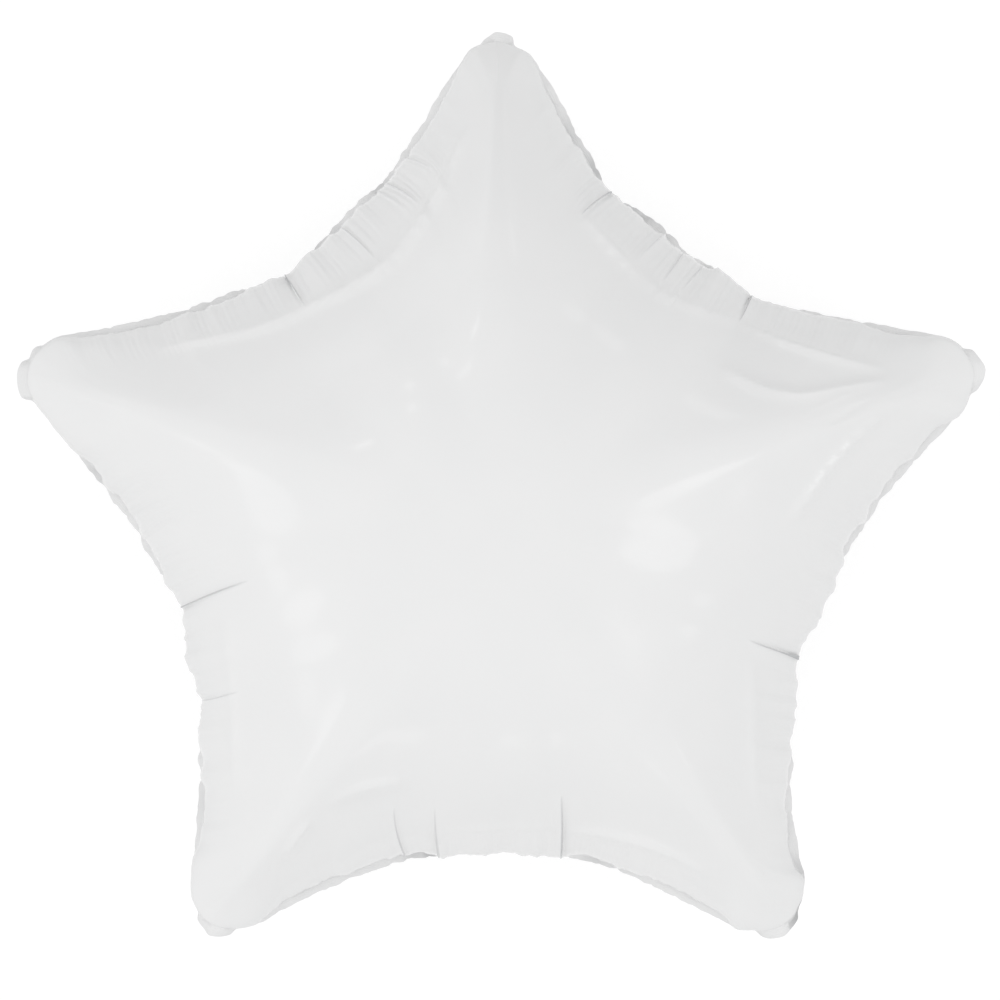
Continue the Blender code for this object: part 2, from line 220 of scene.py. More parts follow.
# Shallow wrinkles of the front film: a path across the star (x, y), half width, depth, and
# the side step and pitch of a zigzag where there is one
wrinkles = {
    "upperLeftShoulder": {
        "path": [
            (-0.158, 0.082), (-0.127, 0.088), (-0.106, 0.093), (-0.088, 0.101), (-0.069, 0.11),
            (-0.05, 0.122), (-0.039, 0.137), (-0.028, 0.154), (-0.021, 0.171), (-0.014, 0.185),
        ],
        "width": 0.0022, "depth": 0.0022, "zigzag": (0.0004, 0.007),
    },
    "topRightShoulder": {
        "path": [(0.0396, 0.1441), (0.0499, 0.132), (0.0662, 0.1147)],
        "width": 0.0022, "depth": 0.0018, "zigzag": (0.0005, 0.008),
    },
    "rightZigzag": {
        "path": [(0.064, 0.116), (0.078, 0.1063), (0.0942, 0.0998), (0.1125, 0.0945)],
        "width": 0.0013, "depth": 0.00135, "zigzag": (0.0016, 0.0052),
    },
    "rightArmShoulder": {
        "path": [(0.1105, 0.0951), (0.1315, 0.0853), (0.1548, 0.0783), (0.1781, 0.0727)],
        "width": 0.0022, "depth": 0.0018,
    },
    "bottomMiddle": {
        "path": [(-0.027, -0.1418), (0.0009, -0.1399), (0.0289, -0.1399)],
        "width": 0.0019, "depth": 0.0009, "zigzag": (0.0004, 0.004),
    },
    "bottomRight": {
        "path": [
            (0.0317, -0.1408), (0.0476, -0.1422), (0.0662, -0.1464), (0.0825, -0.1529), (0.0965, -0.1618),
        ],
        "width": 0.0024, "depth": 0.00225,
    },
    "bottomLeftArm": {
        "path": [(-0.0993, -0.1534), (-0.0923, -0.1427), (-0.0853, -0.1348)],
        "width": 0.0022, "depth": 0.0015,
    },
    "bottomLeft": {
        "path": [(-0.0783, -0.1278), (-0.062, -0.1208), (-0.041, -0.1175)],
        "width": 0.0029, "depth": 0.0012,
    },
    "rightArmArc": {
        "path": [(0.1012, 0.0737), (0.1245, 0.0625), (0.1408, 0.0602), (0.1595, 0.0643), (0.1805, 0.0676)],
        "width": 0.0024, "depth": 0.00144,
    },
    "rightArmLong": {
        "path": [(0.1795, 0.0522), (0.1641, 0.0401), (0.1501, 0.0238), (0.1408, 0.0098), (0.1334, 0.0014)],
        "width": 0.0023, "depth": 0.00195, "zigzag": (0.0004, 0.009),
    },
    "rightArmFanUpper": {
        "path": [(0.1725, 0.0588), (0.1501, 0.0457)],
        "width": 0.002, "depth": 0.00073,
    },
    "rightArmFanLower": {
        "path": [(0.1641, 0.0625), (0.1418, 0.0513)],
        "width": 0.002, "depth": 0.00063,
    },
    "leftLower": {
        "path": [(-0.1268, -0.0392), (-0.124, -0.0625), (-0.1222, -0.0905), (-0.1222, -0.1231)],
        "width": 0.0026, "depth": 0.00105,
    },
    "rightLower": {
        "path": [(0.1166, -0.0602), (0.1175, -0.0811), (0.1184, -0.1091), (0.1212, -0.1324)],
        "width": 0.0026, "depth": 0.00105, "zigzag": (0.0004, 0.006),
    },
}

halfAngle = math.pi / 5
spoke = np.array([math.sin(halfAngle), math.cos(halfAngle)])


def smoothCorner(before, corner, after, radius, count=40):
    # parabola through a corner: (1-s)^2 start + 2s(1-s) corner + s^2 end
    back = before - corner
    ahead = after - corner
    room = 0.48 * min(np.linalg.norm(back), np.linalg.norm(ahead))
    back = back / np.linalg.norm(back)
    ahead = ahead / np.linalg.norm(ahead)
    turn = math.pi - math.acos(np.clip(back @ ahead, -1.0, 1.0))
    reach = min(radius * math.tan(turn / 2), room)
    share = np.linspace(0.0, 1.0, count)[:, None]
    start = corner + reach * back
    end = corner + reach * ahead
    return (1 - share) ** 2 * start + 2 * share * (1 - share) * corner + share**2 * end


def sideOutline(b):
    # half a side: middle, bend, straight to the round end, round to the spoke; then mirrored
    notch = np.array([0.0, b["notchRadius"] - b["plainMargin"]])
    bend = notch + (b["bendPlace"], b["bendRise"])
    endRadius = b["tipRound"] - b["plainMargin"]
    endCentre = (b["tipRadius"] - b["tipRound"]) * spoke
    run = endCentre - bend
    heading = math.atan2(run[1], run[0]) + math.asin(endRadius / np.linalg.norm(run))
    angles = np.linspace(heading + math.pi / 2, math.pi / 2 - halfAngle, 40)
    end = endCentre + endRadius * np.stack([np.cos(angles), np.sin(angles)], axis=1)
    middle = smoothCorner(bend * (-1, 1), notch, bend, b["middleRound"])
    middle = middle[middle[:, 0] > 0.0]
    half = np.vstack([middle, smoothCorner(notch, bend, end[0], b["bendRound"]), end])
    return np.vstack([half[::-1] * (-1, 1), half])


outline = sideOutline(balloon)
outlinePlace = np.append(0.0, np.cumsum(np.linalg.norm(np.diff(outline, axis=0), axis=1)))
outlinePlace = outlinePlace - outlinePlace[-1] / 2
halfLength = outlinePlace[-1]


def pointOnOutline(places):
    return np.stack([np.interp(places, outlinePlace, outline[:, k]) for k in (0, 1)], -1)


def edgeNormals(edge, places):
    # outward normals of an edge given as a function of the place
    step = 0.001
    ahead = edge(np.minimum(places + step, halfLength))
    behind = edge(np.maximum(places - step, -halfLength))
    along = (ahead - behind) / np.linalg.norm(ahead - behind, axis=-1, keepdims=True)
    normals = np.stack([-along[..., 1], along[..., 0]], -1)
    normals[..., 0, :] = spoke * (-1, 1)
    normals[..., -1, :] = spoke
    return normals


def smoothAlong(values, step, width):
    # running mean under a bell
    reach = int(3 * width / step)
    bell = np.exp(-0.5 * (np.arange(-reach, reach + 1) * step / width) ** 2)
    return np.convolve(np.pad(values, reach, mode="edge"), bell / bell.sum(), mode="valid")


def softEdge(places, b):
    # the plain edge with its bends rounded off, which the film follows further in: a bell
    # runs along the edge with its straight flanks drawn on beyond the points' round ends
    step = halfLength / 1000
    fine = step * np.arange(-1400, 1401)
    flank = b["flankPlace"]
    points = pointOnOutline(fine)
    for side in (-1, 1):
        beyond = side * fine > flank
        end, further = pointOnOutline(side * np.array([flank, flank + step]))
        points[beyond] = end + (further - end) / step * (side * fine[beyond] - flank)[:, None]
    soft = np.stack([smoothAlong(points[:, k], step, b["softWidth"]) for k in (0, 1)], 1)
    drawn = np.stack([np.interp(places, fine, soft[:, k]) for k in (0, 1)], -1)
    blend = np.clip((flank - np.abs(places)) / b["flankBlend"], 0.0, 1.0)[..., None]
    return pointOnOutline(places) * (1 - blend) + drawn * blend


seamShape = {
    "keptSharp": 0.003,        # this near a crease the seam's line isn't rounded off
    "knotRound": 0.0018,       # bells that round off its knots elsewhere, and the margin's
    "marginRound": 0.0005,
    "swellRound": 0.010,       # what this bell leaves is the film's swell, the rest its notches
    "hiddenMargin": 0.0008,    # where no more than this shows, the film swells over the seam
    "openMargin": 0.0018,      # and from here on it doesn't
    "bulgeRound": 0.005,
    "levelPlaces": (-0.085, 0.085),   # where the seam's level turns, besides the creases
    "levelEnd": 0.120,
    "levelRound": 0.004,
}


def edgeProfile(number, places):
    # knots joined by straight lines, rounded off everywhere but at the creases; those beyond
    # the points are there so that two sides agree where they meet
    before, after = (number + 1) % 5, (number - 1) % 5
    parts = (
        (sides[before]["edge"], -2), (tips[before], -1), (sides[number]["edge"], 0),
        (tips[number], 1), (sides[after]["edge"], 2),
    )
    knots = [0.001 * np.array(part) + (shift * halfLength, 0.0, 0.0) for part, shift in parts]
    knots = np.vstack(knots)
    step = halfLength / 2000
    fine = step * np.arange(-3000, 3001)
    stand = np.interp(fine, knots[:, 0], knots[:, 1])
    away = np.min([np.abs(fine - crease[0]) for crease in sides[number]["creases"]], axis=0)
    s = seamShape
    sharp = np.exp(-((away / s["keptSharp"]) ** 2))
    stand = sharp * stand + (1 - sharp) * smoothAlong(stand, step, s["knotRound"])
    shown = smoothAlong(np.interp(fine, knots[:, 0], knots[:, 2]), step, s["marginRound"])
    swell = smoothAlong(stand, step, s["swellRound"])
    hidden = (s["openMargin"] - shown) / (s["openMargin"] - s["hiddenMargin"])
    bulge = smoothAlong(np.clip(hidden, 0.0, 1.0), step, s["bulgeRound"])
    return [np.interp(places, fine, values) for values in (swell, stand - swell, shown, bulge)]


def seamLevel(number, places, b):
    # the seam rises and sinks between its creases, and keeps its level at the points
    draw = np.random.default_rng(puckers["seed"] + 20 + number)
    stops = sorted([crease[0] for crease in sides[number]["creases"]] + [*seamShape["levelPlaces"]])
    heights = b["seamWave"] * draw.uniform(-1, 1, len(stops))
    fine = np.linspace(-halfLength, halfLength, 2001)
    end = seamShape["levelEnd"]
    level = np.interp(fine, [-end, *stops, end], [0.0, *heights, 0.0])
    return np.interp(places, fine, smoothAlong(level, fine[1] - fine[0], seamShape["levelRound"]))


# Where section lines and rows crowd: (how many more there, over what reach)
crowding = {
    "tab": (1.6, 0.012),
    "crease": (5.0, 0.0014),
    "seam": (1.5, 0.012),
    "sectionDepth": 0.095,     # from the seam to the ridge, as the rows are shared out
}


def columnPlaces(side, b):
    # section lines crowd round each crease and each tab: equal steps of the integral of
    # 1 + sum of bells, then the nearest line is moved onto the crease itself
    fine = np.linspace(-halfLength, halfLength, 6001)
    more, reach = crowding["tab"]
    density = 1.0 + more * np.exp(-(((halfLength - np.abs(fine)) / reach) ** 4))
    more, reach = crowding["crease"]
    for crease in side["creases"]:
        density += more * np.exp(-(((fine - crease[0]) / reach) ** 2))
    total = np.append(0.0, np.cumsum((density[1:] + density[:-1]) / 2))
    places = np.interp(np.linspace(0.0, total[-1], b["columns"] + 1), total, fine)
    for crease in side["creases"]:
        places[np.argmin(np.abs(places - crease[0]))] = crease[0]
    return places


def restColumns(b):
    # how many section lines on each side of a side's middle end round the flat spot
    return round(b["columns"] // 2 * b["restShare"])


def ridgeAt(places, b):
    # section lines end on the two ridges, and round the flat spot between them. With s the
    # share of the way along the side from the flat spot's end to the point, they end at
    # radius r0 + (R - r0) (sqrt(s^2 + e^2) - e) / (sqrt(1 + e^2) - e), so that they turn off softly
    reach = b["tipRadius"] - b["tipRound"]
    count = b["columns"] // 2
    first = restColumns(b)
    share = np.abs(places) / halfLength * count
    ease = b["ridgeEase"]
    out = np.maximum(share - first, 0.0) / (count - first)
    out = (np.hypot(out, ease) - ease) / (math.hypot(1.0, ease) - ease)
    radius = b["restRadius"] + (reach - b["restRadius"]) * out
    around = np.minimum(share / first, 1.0)
    angle = halfAngle * around * (3 - around**2) / 2 * np.sign(places)
    return np.stack([radius * np.sin(angle), radius * np.cos(angle)], -1)


def sectionProfile(fromSeam, b):
    # superellipse from the seam (0) to the ridge (1)
    power = b["sectionPower"]
    return (1 - (1 - fromSeam) ** power) ** (1 / power)


def rowShares(rows, b):
    # rows are even along the section's own curve, and closer near the seam
    fine = np.linspace(0.0, 1.0, 4001) ** 5
    height = b["thickness"] / 2 * sectionProfile(fine, b)
    arc = np.append(0.0, np.cumsum(np.hypot(crowding["sectionDepth"] * np.diff(fine), np.diff(height))))
    more, reach = crowding["seam"]
    weight = 1 + more * np.exp(-arc / reach)
    total = np.append(0.0, np.cumsum((weight[1:] + weight[:-1]) / 2 * np.diff(arc)))
    return np.interp(np.linspace(total[-1], 0.0, rows + 1), total, fine)


creaseShape = {
    "flank": 0.012,            # how far along the seam its wide flanks reach
    "laidSide": 0.0013,        # the fold's shallow side, which the lap lies on
    "steepSide": 0.0003,
    "lip": 0.4,                # the lip's height, as a share of the fold's depth
    "lipPlace": 0.0012,
    "lipWidth": 0.0008,
    "onset": 0.0025,           # no relief at the seam itself, all of it from here on in
    "lineWidth": 0.00035,      # cracked ink along the fold, and painted shade in it
    "lineDepth": 0.0022,       # depth of a fold whose ink is fully cracked and whose painted shade is full
    "leanWidth": 0.006,        # how far along the seam the film leans with it
}


def puckerList(number):
    # valleys of each family along one side: (place, depth, reach, half width)
    p = puckers
    draw = np.random.default_rng(p["seed"] + number)
    found = []
    for pitch, depth, reach in zip(p["pitch"], p["depth"], p["reach"]):
        places = np.arange(-halfLength * p["covered"], halfLength * p["covered"], pitch)
        places = places + pitch * p["jitter"] * draw.uniform(-1, 1, len(places))
        depths = depth * draw.uniform(*p["depthSpread"], len(places))
        reaches = reach * draw.uniform(*p["reachSpread"], len(places))
        widths = pitch * draw.uniform(*p["widthSpread"], len(places))
        found.append(np.stack([places, depths, reaches, widths], 1))
    return np.vstack(found)


def relief(side, number, places, fromSeam, depthIn):
    # height of the film over its smooth form: wide flanks - sharp folds + lips - puckers
    total = np.zeros_like(depthIn)
    c = creaseShape
    off = np.clip(depthIn / c["onset"], 0.0, 1.0)
    for place, length, wide, sharp, _, lap in side["creases"]:
        run = np.clip(1 - depthIn / length, 0.0, 1.0)
        away = (places - place) * lap
        total = total - wide * np.exp(-np.abs(away) / c["flank"]) * run**1.2 * off
        valley = np.where(away > 0, np.exp(-away / c["laidSide"]), np.exp(away / c["steepSide"]))
        lip = c["lip"] * np.exp(-(((away + c["lipPlace"]) / c["lipWidth"]) ** 2))
        total = total + sharp * (lip - valley) * np.sqrt(run) * off
    for place, depth, reach, width in puckerList(number):
        near = np.clip(1 - np.abs(places - place) / width, 0.0, 1.0) ** 1.6
        total = total - depth * near * np.clip(1 - depthIn / reach, 0.0, 1.0) ** 1.2
    return total * (1 - (places / halfLength) ** 2) * (1 - fromSeam)


def foldInkAndShadeMark(side, places, depthIn):
    # mark for the grey of cracked ink and painted shade: 1 along a crease's sharp line, 0 away from it
    found = np.zeros_like(depthIn)
    for place, length, _, sharp, _, _ in side["creases"]:
        run = np.clip(1 - depthIn / length, 0.0, 1.0)
        line = np.exp(-(((places - place) / creaseShape["lineWidth"]) ** 2)) * np.sqrt(run)
        found = np.maximum(found, line * min(sharp / creaseShape["lineDepth"], 1.0))
    return found


def gatherStrength(side, places, depthIn):
    # strongest part of bell(place) x (1 - (depth / reach)^2), none at the points
    found = np.zeros_like(depthIn)
    for place, half, reach, strength in side["gathers"]:
        bell = np.exp(-(((places - place) / half) ** 4))
        found = np.maximum(found, strength * bell * np.clip(1 - (depthIn / reach) ** 2, 0.0, 1.0))
    return found * (1 - (places / halfLength) ** 2)


def wrinklePath(wrinkle):
    # points each millimetre along the path, rounded off and stepped sideways in a triangle wave
    step, rounding = 0.001, 0.005
    knots = np.array(wrinkle["path"])
    reach = np.append(0.0, np.cumsum(np.linalg.norm(np.diff(knots, axis=0), axis=1)))
    along = np.arange(0.0, reach[-1], step)
    drawn = [smoothAlong(np.interp(along, reach, knots[:, k]), step, rounding) for k in (0, 1)]
    path = np.stack(drawn, 1)
    run = np.gradient(path, axis=0)
    run = run / np.linalg.norm(run, axis=1)[:, None]
    sideStep, pitch = wrinkle.get("zigzag", (0.0, 1.0))
    wave = 4 * np.abs((along / pitch) % 1 - 0.5) - 1
    return path + sideStep * wave[:, None] * np.stack([-run[:, 1], run[:, 0]], 1)


wrinklePaths = {name: wrinklePath(wrinkle) for name, wrinkle in wrinkles.items()}


def wrinkleDip(plan):
    # sum over wrinkles of depth exp(-(distance / width)^1.3), run out towards both ends
    total = np.zeros(plan.shape[:-1])
    for name, path in wrinklePaths.items():
        wrinkle = wrinkles[name]
        reach = 3 * wrinkle["width"]
        low, high = path.min(0) - reach, path.max(0) + reach
        near = np.all((plan > low) & (plan < high), axis=-1)
        if not near.any():
            continue
        away = np.linalg.norm(plan[near][:, None, :] - path[None, :, :], axis=2)
        nearest = np.argmin(away, axis=1)
        taper = np.sin(math.pi * (nearest + 1) / (len(path) + 1)) ** 0.5
        total[near] += wrinkle["depth"] * taper * np.exp(-((away.min(1) / wrinkle["width"]) ** 1.3))
    return total


def turned(points, angle):
    result = points.copy()
    result[..., 0] = points[..., 0] * math.cos(angle) - points[..., 1] * math.sin(angle)
    result[..., 1] = points[..., 0] * math.sin(angle) + points[..., 1] * math.cos(angle)
    return result


def filmOver(number, side, atSeam, rows, rise, b):
    # each section line leaves the seam squarely and then turns to the ridge:
    # plan = seam + v (ridge - seam) + v (1 - v)^2 (L inward - (ridge - seam)) + how far it
    # stands out, height = rise (1 - r^2 / R^2) (1 - (1 - v)^p)^(1 / p)
    fromSeam = rowShares(rows, b)[:, None]
    even = np.linspace(-halfLength, halfLength, len(atSeam))
    spread = np.clip((fromSeam - b["crowdedShare"]) / (1 - b["crowdedShare"]), 0.0, 1.0)
    places = atSeam + (even - atSeam) * spread**2 * (3 - 2 * spread)
    plain, normals = pointOnOutline(places), edgeNormals(pointOnOutline, places)
    ridge = ridgeAt(places, b)
    swell, notch, _, bulge = edgeProfile(number, places)
    soft = softEdge(places, b)
    run = ridge - soft
    inward = -edgeNormals(lambda at: softEdge(at, b), places)
    square = inward * np.linalg.norm(run, axis=2, keepdims=True) - run
    v = fromSeam[:, :, None]
    plan = soft + run * v + square * v * (1 - v) ** 2 + (plain - soft) * (1 - v) ** b["softTaper"]
    depthIn = np.linalg.norm(plan - plain, axis=2)
    radius = np.linalg.norm(plan, axis=2)
    stand = swell * (1 - fromSeam) ** 2 + notch * np.exp(-depthIn / b["notchReach"]) * (1 - fromSeam)
    plan = plan + stand[:, :, None] * normals
    profile = sectionProfile(fromSeam, b)
    height = rise * (1 - (radius / b["tipRadius"]) ** 2) * profile
    tangent = np.stack([normals[..., 1], -normals[..., 0]], -1)
    for place, length, _, _, lean, _ in side["creases"]:
        bell = np.exp(-(((places - place) / creaseShape["leanWidth"]) ** 2))
        shift = lean * np.minimum(depthIn, length) * bell * (1 - fromSeam) ** 2
        plan = plan + shift[:, :, None] * tangent
    if rise > 0:
        swollen = b["overhang"] * bulge * np.sin(math.pi * np.clip(height / b["overhangHeight"], 0.0, 1.0))
        plan = plan + (swollen * (1 - fromSeam))[:, :, None] * normals
    level = seamLevel(number, places, b) * (1 - profile) ** 2
    points = np.dstack([plan, height + level])
    down = np.gradient(points, axis=0)
    across = np.gradient(points, axis=1)
    upwards = math.copysign(1, rise)
    out = np.cross(down, across) * upwards
    for column, heading in ((0, spoke * (-1, 1)), (-1, spoke)):
        # on a ridge, which two sides share, the normal stays in the ridge's own plane
        fall = down[:, column, 2]
        away = down[:, column, :2] @ heading
        out[:, column] = np.column_stack([-fall[:, None] * heading, away]) * upwards
    # and where the section lines end, it is that of rise (1 - r^2 / R^2)
    tilt = 2 * abs(rise) / b["tipRadius"] ** 2 * ridge[0]
    out[0] = np.column_stack([tilt, np.full(len(atSeam), upwards)])
    out = out / np.linalg.norm(out, axis=2)[:, :, None]
    out[-1] = np.column_stack([normals[-1], np.zeros(len(atSeam))])
    whole = turned(plan, halfAngle * (2 * number + 1))
    dip = wrinkleDip(whole if rise > 0 else whole * (-1, 1))
    points = points + relief(side, number, places, fromSeam, depthIn)[:, :, None] * out
    # wrinkles sink along the film's normal near the seam, and straight down near the ridges
    nearSeam, nearRidge = b["dipTurns"]
    upright = np.clip((fromSeam - nearSeam) / (nearRidge - nearSeam), 0.0, 1.0)[:, :, None]
    points = points - dip[:, :, None] * (out * (1 - upright) + upright * (0.0, 0.0, upwards))
    marks = {"fold": foldInkAndShadeMark(side, places, depthIn), "gather": gatherStrength(side, places, depthIn)}
    return points, depthIn, np.broadcast_to(places, depthIn.shape), marks


def marginRows(number, places, root, b):
    # the margin leans back from the seam so that its shown width is width cos(lean)
    normals = edgeNormals(pointOnOutline, places)
    shown = edgeProfile(number, places)[2]
    width = np.maximum(b["marginWidth"], shown + b["marginSpare"])
    lean = np.arccos(shown / width)
    run = np.column_stack([normals * np.cos(lean)[:, None], -np.sin(lean)])
    face = np.column_stack([normals * np.sin(lean)[:, None], np.cos(lean)])
    draw = np.random.default_rng(puckers["seed"] + 40 + number)
    ripple = np.zeros(len(places))
    for pitch in b["ripplePitch"]:
        ripple += np.sin(2 * math.pi * (places / pitch + draw.uniform())) * pitch / b["ripplePitch"][0]
    ripple = b["marginRipple"] * ripple * (1 - (places / halfLength) ** 2)
    front = []
    back = []
    half = b["marginThickness"] / 2
    for share in b["marginRows"]:
        middle = root + run * (width * share)[:, None]
        middle[:, 2] += ripple * share
        thin = half * (1.0 if share < 1 else b["marginEdge"])
        front.append(middle + face * thin)
        back.append(middle - face * thin)
    return front, back[::-1]


# mark for the margin's foil side turned up, and for painted shade where the margin folds back
def silverAndShadeStrength(side, places):
    found = np.zeros(len(places))
    for place, reach, strength in side["silverAndShade"]:
        found = np.maximum(found, strength * np.exp(-(((places - place) / reach) ** 2)))
    return found


def sideGrid(number, side, b):
    # rows from the crown down the front film, round the margin and on to the flat spot
    places = columnPlaces(side, b)
    level = b["thickness"] / 2
    half = b["marginThickness"] / 2
    frontRise = level - half
    backRise = frontRise / (1 - (b["restRadius"] / b["tipRadius"]) ** 2)
    front, frontDepth, frontAlong, frontMarks = filmOver(number, side, places, b["frontRows"], frontRise, b)
    back, backDepth, backAlong, backMarks = filmOver(number, side, places, b["backRows"], -backRise, b)
    front[:, :, 2] += level + half
    back[:, :, 2] += level - half
    root = (front[-1] + back[-1]) / 2
    over, under = marginRows(number, places, root, b)
    grid = np.concatenate([front, over, under, back[::-1]])
    edgeRows = np.zeros((len(over) * 2, len(places)))
    marks = {"silverAndShade": np.zeros(grid.shape[:2])}
    for mark, values in frontMarks.items():
        marks[mark] = np.concatenate([values, edgeRows, backMarks[mark][::-1]])
    marks["silverAndShade"][len(front) : len(front) + len(edgeRows)] = silverAndShadeStrength(side, places)
    shares = np.array(b["marginRows"] + b["marginRows"][::-1])
    across = edgeRows - b["marginWidth"] * shares[:, None]
    inward = np.concatenate([frontDepth, across, backDepth[::-1]])
    along = np.concatenate([frontAlong, edgeRows + places, backAlong[::-1]])
    isMargin = np.zeros(len(grid) - 1, dtype=int)
    isMargin[len(front) - 1 : len(front) + len(edgeRows)] = 1
    return grid, marks, np.stack([along, inward], -1), isMargin


def weldMesh(name, points, quads, marks, maps, looks):
    # points that meet are merged; marks are kept on points, maps on face corners. A face that
    # names a corner twice is a triangle
    mesh = bpy.data.meshes.new(name)
    faces = [[c for n, c in enumerate(q) if c != q[n - 1]] for q in quads.tolist()]
    mesh.from_pydata(points.tolist(), [], faces)
    for mark, values in marks.items():
        mesh.attributes.new(mark, "FLOAT", "POINT").data.foreach_set("value", values)
    mesh.polygons.foreach_set("material_index", looks)
    corners = np.zeros(len(mesh.loops), dtype=int)
    mesh.loops.foreach_get("vertex_index", corners)
    mesh.uv_layers.new(name="UVMap").data.foreach_set("uv", maps[corners].ravel())
    shape = bmesh.new()
    shape.from_mesh(mesh)
    bmesh.ops.remove_doubles(shape, verts=shape.verts, dist=1e-6)
    openEdges = sum(1 for edge in shape.edges if not edge.is_manifold)
    shape.to_mesh(mesh)
    shape.free()
    print(name, "open edges:", openEdges)
    return mesh


def balloonMesh(b):
    points = []
    quads = []
    looks = []
    marks = {"fold": [], "gather": [], "silverAndShade": []}
    maps = []
    start = 0
    first = restColumns(b)
    for number, side in enumerate(sides):
        grid, sideMarks, sideMap, isMargin = sideGrid(number, side, b)
        rows, cols = grid.shape[:2]
        index = start + np.arange(rows * cols).reshape(rows, cols)
        corners = np.stack([index[:-1, :-1], index[:-1, 1:], index[1:, 1:], index[1:, :-1]], -1)
        quads.append(corners[:, 1:-1].reshape(-1, 4))
        looks.append(np.repeat(isMargin, cols - 3))
        for column in (0, -1):
            # the outermost faces are split along the line that runs to the end of the ridge
            ends = corners[:, column].copy()
            isFront = np.arange(len(ends)) < b["frontRows"]
            other = isFront if column else ~isFront
            ends[other] = np.roll(ends[other], -1, axis=1)
            for split in ((0, 1, 2, 2), (0, 2, 3, 3)):
                quads.append(ends[:, split])
                looks.append(isMargin)
        points.append(turned(grid, halfAngle * (2 * number + 1)).reshape(-1, 3))
        for mark, values in sideMarks.items():
            marks[mark].append(values.ravel())
        maps.append(sideMap.reshape(-1, 2))
        start += rows * cols
        middle = cols // 2
        # the crown in front and the flat spot behind are closed by fans round their middles
        for row, height in ((index[0], b["thickness"]), (index[-1], 0.0)):
            points.append(np.array([[0.0, 0.0, height]]))
            maps.append(np.array([[0.0, b["notchRadius"]]]))
            for mark in marks:
                marks[mark].append(np.zeros(1))
            ring = row[middle - first : middle + first + 1]
            crown = np.full(len(ring) - 1, start)
            fan = np.stack([ring[:-1], ring[1:], crown, crown], 1)
            if height > 0:
                fan = fan[:, [1, 0, 2, 3]]
            quads.append(fan)
            looks.append(np.zeros(len(fan), dtype=int))
            start += 1
    marks = {mark: np.concatenate(values) for mark, values in marks.items()}
    points, quads, maps = (np.vstack(parts) for parts in (points, quads, maps))
    return weldMesh("balloonEnvelope", points, quads, marks, maps, np.concatenate(looks))


def principled(name, colour, roughness):
    material = bpy.data.materials.new(name)
    material.use_nodes = True
    shader = material.node_tree.nodes["Principled BSDF"]
    shader.inputs["Base Color"].default_value = (*colour, 1.0)
    shader.inputs["Roughness"].default_value = roughness
    return material, shader


def addNode(tree, kind, settings=None, inputs=None):
    # a node with its settings, and its inputs as links or plain values
    node = tree.nodes.new(kind)
    for key, value in (settings or {}).items():
        setattr(node, key, value)
    for key, value in (inputs or {}).items():
        if isinstance(value, bpy.types.NodeSocket):
            tree.links.new(value, node.inputs[key])
        else:
            node.inputs[key].default_value = value
    return node


def calculate(tree, operation, *values):
    # a Math node; every helper below gives its node's output
    return addNode(tree, "ShaderNodeMath", {"operation": operation}, dict(enumerate(values))).outputs[0]


def remap(tree, value, fromMin, fromMax, toMin, toMax):
    inputs = dict(enumerate((value, fromMin, fromMax, toMin, toMax)))
    return addNode(tree, "ShaderNodeMapRange", inputs=inputs).outputs[0]


def mixColours(tree, share, first, second):
    # sockets 0, 6 and 7 are the share and the colours, and colours are links or plain values
    first, second = [c if isinstance(c, bpy.types.NodeSocket) else (*c, 1.0) for c in (first, second)]
    inputs = {0: share, 6: first, 7: second}
    return addNode(tree, "ShaderNodeMix", {"data_type": "RGBA"}, inputs).outputs[2]


def noise(tree, place, scale, detail):
    inputs = {"Vector": place, "Scale": scale, "Detail": detail}
    return addNode(tree, "ShaderNodeTexNoise", inputs=inputs).outputs["Fac"]


def readMark(tree, name):
    return addNode(tree, "ShaderNodeAttribute", {"attribute_name": name}).outputs["Fac"]


def seamMap(tree):
    # the UV map runs along the seam in X and in from it in Y, in metres
    place = addNode(tree, "ShaderNodeUVMap", {"uv_map": "UVMap"}).outputs[0]
    return place, addNode(tree, "ShaderNodeSeparateXYZ", inputs={0: place}).outputs


def scaled(tree, place, scale, shift=(0.0, 0.0, 0.0)):
    inputs = {"Vector": place, "Location": shift, "Scale": scale}
    return addNode(tree, "ShaderNodeMapping", {"vector_type": "POINT"}, inputs).outputs[0]


def bumpFrom(tree, height, distance, normal=None):
    inputs = {"Distance": distance, "Height": height}
    if normal:
        inputs["Normal"] = normal
    return addNode(tree, "ShaderNodeBump", inputs=inputs).outputs[0]


def filmUnevennessGroup():
    # slow cockles and a fine orange peel, as one height, and the slow part alone as a mask
    group = bpy.data.node_groups.new("filmUnevenness", "ShaderNodeTree")
    for name, value in (("Cockle Scale", 30.0), ("Peel Scale", 420.0), ("Peel Share", 0.15)):
        socket = group.interface.new_socket(name, in_out="INPUT", socket_type="NodeSocketFloat")
        socket.default_value = value
    for name in ("Height", "Cloud"):
        group.interface.new_socket(name, in_out="OUTPUT", socket_type="NodeSocketFloat")
    inside = group.nodes.new("NodeGroupInput").outputs
    place = addNode(group, "ShaderNodeTexCoord").outputs["Object"]
    cockle = noise(group, place, inside["Cockle Scale"], 2.0)
    peel = noise(group, place, inside["Peel Scale"], 1.0)
    height = calculate(group, "MULTIPLY_ADD", peel, inside["Peel Share"], cockle)
    outside = group.nodes.new("NodeGroupOutput")
    group.links.new(height, outside.inputs["Height"])
    group.links.new(cockle, outside.inputs["Cloud"])
    return group


filmUnevenness = filmUnevennessGroup()

